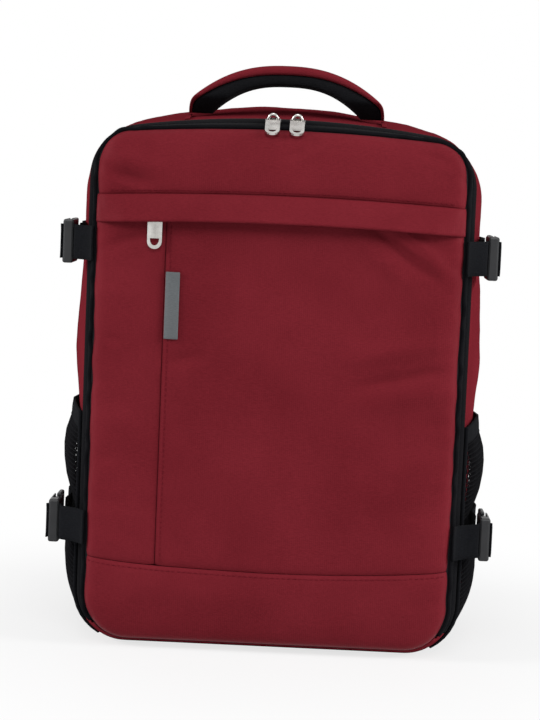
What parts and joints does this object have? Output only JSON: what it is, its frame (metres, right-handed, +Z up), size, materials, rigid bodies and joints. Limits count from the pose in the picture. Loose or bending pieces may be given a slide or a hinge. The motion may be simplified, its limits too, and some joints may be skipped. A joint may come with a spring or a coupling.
{
  "type": "travel backpack",
  "caption": "Upright cabin-size travel backpack with a zipped front lid, front pocket under a flap, side buckles and straps, mesh side pockets and a padded top handle.",
  "frame": {"origin": "middle of the bag's flat bottom, below the gusset's fullest section", "axes": "+Z up the bag, -Y out of the lid, +Y out of the padded back, +X to the right seen from the front"},
  "size_m": [0.3264, 0.225, 0.4283],
  "materials": {
    "burgundy_cloth": "fine woven polyester with a satin sheen",
    "black_cloth": "woven webbing, zip tape and lining cloth",
    "black_mesh": "open spacer mesh",
    "black_plastic": "moulded, satin",
    "nickel": "satin nickel plate",
    "label_grey": "plain woven tab"
  },
  "bodies": {
    "bag": {"gusset": "burgundy_cloth", "back_panel": "black_cloth", "back_board": "black_plastic", "base_board": "black_plastic", "bottom_front_strip": "burgundy_cloth", "back_pad": "black_mesh", "zip_tape_gusset": "black_cloth", "mesh_pocket_left": "black_mesh", "mesh_pocket_right": "black_mesh", "side_strap_upper_left": "black_cloth", "side_strap_upper_right": "black_cloth", "side_strap_lower_left": "black_cloth", "side_strap_lower_right": "black_cloth", "strap_yoke": "black_cloth", "shoulder_strap_left": "black_cloth", "shoulder_strap_right": "black_cloth", "strap_adjuster_left": "black_plastic", "strap_adjuster_right": "black_plastic", "strap_webbing_left": "black_cloth", "strap_webbing_right": "black_cloth", "strap_anchor_left": "black_cloth", "strap_anchor_right": "black_cloth"},
    "lid": {"lid_core": "black_cloth", "lid_upper_panel": "burgundy_cloth", "pocket_panel_left": "burgundy_cloth", "pocket_panel_right": "burgundy_cloth", "lid_bottom_panel": "burgundy_cloth", "pocket_zip_tape": "black_cloth", "pocket_flap": "burgundy_cloth", "label_tab": "label_grey", "zip_tape_lid": "black_cloth", "strap_stub_upper_left": "black_cloth", "strap_stub_upper_right": "black_cloth", "strap_stub_lower_left": "black_cloth", "strap_stub_lower_right": "black_cloth", "buckle_housing_upper_left": "black_plastic", "buckle_housing_upper_right": "black_plastic", "buckle_housing_lower_left": "black_plastic", "buckle_housing_lower_right": "black_plastic"},
    "handle": {"handle_cover": "burgundy_cloth", "handle_pad": "black_mesh"},
    "zip_slider_left": {"zip_slider_left": "nickel"},
    "zip_pull_left": {"zip_pull_left": "nickel"},
    "zip_slider_right": {"zip_slider_right": "nickel"},
    "zip_pull_right": {"zip_pull_right": "nickel"},
    "pocket_zip_slider": {"pocket_zip_slider": "nickel"},
    "pocket_zip_pull": {"pocket_zip_pull": "nickel"},
    "plug_upper_left": {"buckle_plug_upper_left": "black_plastic"},
    "latch_upper_left_upper": {"latch_arm_upper_left_upper": "black_plastic"},
    "latch_upper_left_lower": {"latch_arm_upper_left_lower": "black_plastic"},
    "plug_upper_right": {"buckle_plug_upper_right": "black_plastic"},
    "latch_upper_right_upper": {"latch_arm_upper_right_upper": "black_plastic"},
    "latch_upper_right_lower": {"latch_arm_upper_right_lower": "black_plastic"},
    "plug_lower_left": {"buckle_plug_lower_left": "black_plastic"},
    "latch_lower_left_upper": {"latch_arm_lower_left_upper": "black_plastic"},
    "latch_lower_left_lower": {"latch_arm_lower_left_lower": "black_plastic"},
    "plug_lower_right": {"buckle_plug_lower_right": "black_plastic"},
    "latch_lower_right_upper": {"latch_arm_lower_right_upper": "black_plastic"},
    "latch_lower_right_lower": {"latch_arm_lower_right_lower": "black_plastic"}
  },
  "joints": [
    {"name": "lid_open", "type": "hinge", "parent": "bag", "child": "lid", "pos_m": [0, -0.0863, 0.005], "axis": [1, 0, 0], "range_deg": [0, 72]},
    {"name": "handle_tilt", "type": "hinge", "parent": "bag", "child": "handle", "pos_m": [0, -0.038, 0.3912], "axis": [1, 0, 0], "range_deg": [-20, 30], "stiffness_Nm_per_rad": 0.3},
    {"name": "zip_slider_left_run", "type": "hinge", "parent": "lid", "child": "zip_slider_left", "pos_m": [0, -0.074, -0.62], "axis": [0, -1, 0], "range_deg": [0, 3]},
    {"name": "zip_pull_left_flip", "type": "hinge", "parent": "zip_slider_left", "child": "zip_pull_left", "pos_m": [-0.00882, -0.08092, 0.38599], "axis": [-1, 0, -0.0095], "range_deg": [0, 110]},
    {"name": "zip_slider_right_run", "type": "hinge", "parent": "lid", "child": "zip_slider_right", "pos_m": [0, -0.074, -0.62], "axis": [0, 1, 0], "range_deg": [0, 3]},
    {"name": "zip_pull_right_flip", "type": "hinge", "parent": "zip_slider_right", "child": "zip_pull_right", "pos_m": [0.00882, -0.08092, 0.38599], "axis": [-1, 0, 0.0095], "range_deg": [0, 110]},
    {"name": "pocket_slider_run", "type": "slide", "parent": "lid", "child": "pocket_zip_slider", "axis": [1, 0, 0], "range_m": [0, 0.178]},
    {"name": "pocket_pull_flip", "type": "hinge", "parent": "pocket_zip_slider", "child": "pocket_zip_pull", "pos_m": [-0.089, -0.102, 0.3114], "axis": [-1, 0, 0], "range_deg": [0, 45]},
    {"name": "buckle_upper_left_release", "type": "slide", "parent": "bag", "child": "plug_upper_left", "axis": [0, 1, 0], "range_m": [0, 0.02]},
    {"name": "latch_upper_left_upper_squeeze", "type": "hinge", "parent": "plug_upper_left", "child": "latch_upper_left_upper", "pos_m": [-0.155, -0.0363, 0.303], "axis": [-1, 0, 0], "range_deg": [0, 8], "stiffness_Nm_per_rad": 0.5},
    {"name": "latch_upper_left_lower_squeeze", "type": "hinge", "parent": "plug_upper_left", "child": "latch_upper_left_lower", "pos_m": [-0.155, -0.0363, 0.283], "axis": [1, 0, 0], "range_deg": [0, 8], "stiffness_Nm_per_rad": 0.5},
    {"name": "buckle_upper_right_release", "type": "slide", "parent": "bag", "child": "plug_upper_right", "axis": [0, 1, 0], "range_m": [0, 0.02]},
    {"name": "latch_upper_right_upper_squeeze", "type": "hinge", "parent": "plug_upper_right", "child": "latch_upper_right_upper", "pos_m": [0.155, -0.0363, 0.303], "axis": [-1, 0, 0], "range_deg": [0, 8], "stiffness_Nm_per_rad": 0.5},
    {"name": "latch_upper_right_lower_squeeze", "type": "hinge", "parent": "plug_upper_right", "child": "latch_upper_right_lower", "pos_m": [0.155, -0.0363, 0.283], "axis": [1, 0, 0], "range_deg": [0, 8], "stiffness_Nm_per_rad": 0.5},
    {"name": "buckle_lower_left_release", "type": "slide", "parent": "bag", "child": "plug_lower_left", "axis": [0, 1, 0], "range_m": [0, 0.02]},
    {"name": "latch_lower_left_upper_squeeze", "type": "hinge", "parent": "plug_lower_left", "child": "latch_lower_left_upper", "pos_m": [-0.1592, -0.0363, 0.096], "axis": [-1, 0, 0], "range_deg": [0, 8], "stiffness_Nm_per_rad": 0.5},
    {"name": "latch_lower_left_lower_squeeze", "type": "hinge", "parent": "plug_lower_left", "child": "latch_lower_left_lower", "pos_m": [-0.1592, -0.0363, 0.076], "axis": [1, 0, 0], "range_deg": [0, 8], "stiffness_Nm_per_rad": 0.5},
    {"name": "buckle_lower_right_release", "type": "slide", "parent": "bag", "child": "plug_lower_right", "axis": [0, 1, 0], "range_m": [0, 0.02]},
    {"name": "latch_lower_right_upper_squeeze", "type": "hinge", "parent": "plug_lower_right", "child": "latch_lower_right_upper", "pos_m": [0.1592, -0.0363, 0.096], "axis": [-1, 0, 0], "range_deg": [0, 8], "stiffness_Nm_per_rad": 0.5},
    {"name": "latch_lower_right_lower_squeeze", "type": "hinge", "parent": "plug_lower_right", "child": "latch_lower_right_lower", "pos_m": [0.1592, -0.0363, 0.076], "axis": [1, 0, 0], "range_deg": [0, 8], "stiffness_Nm_per_rad": 0.5}
  ],
  "couplings": [
    {"joint": "latch_upper_left_lower_squeeze", "follows": "latch_upper_left_upper_squeeze", "ratio": 1},
    {"joint": "latch_upper_right_lower_squeeze", "follows": "latch_upper_right_upper_squeeze", "ratio": 1},
    {"joint": "latch_lower_left_lower_squeeze", "follows": "latch_lower_left_upper_squeeze", "ratio": 1},
    {"joint": "latch_lower_right_lower_squeeze", "follows": "latch_lower_right_upper_squeeze", "ratio": 1}
  ]
}
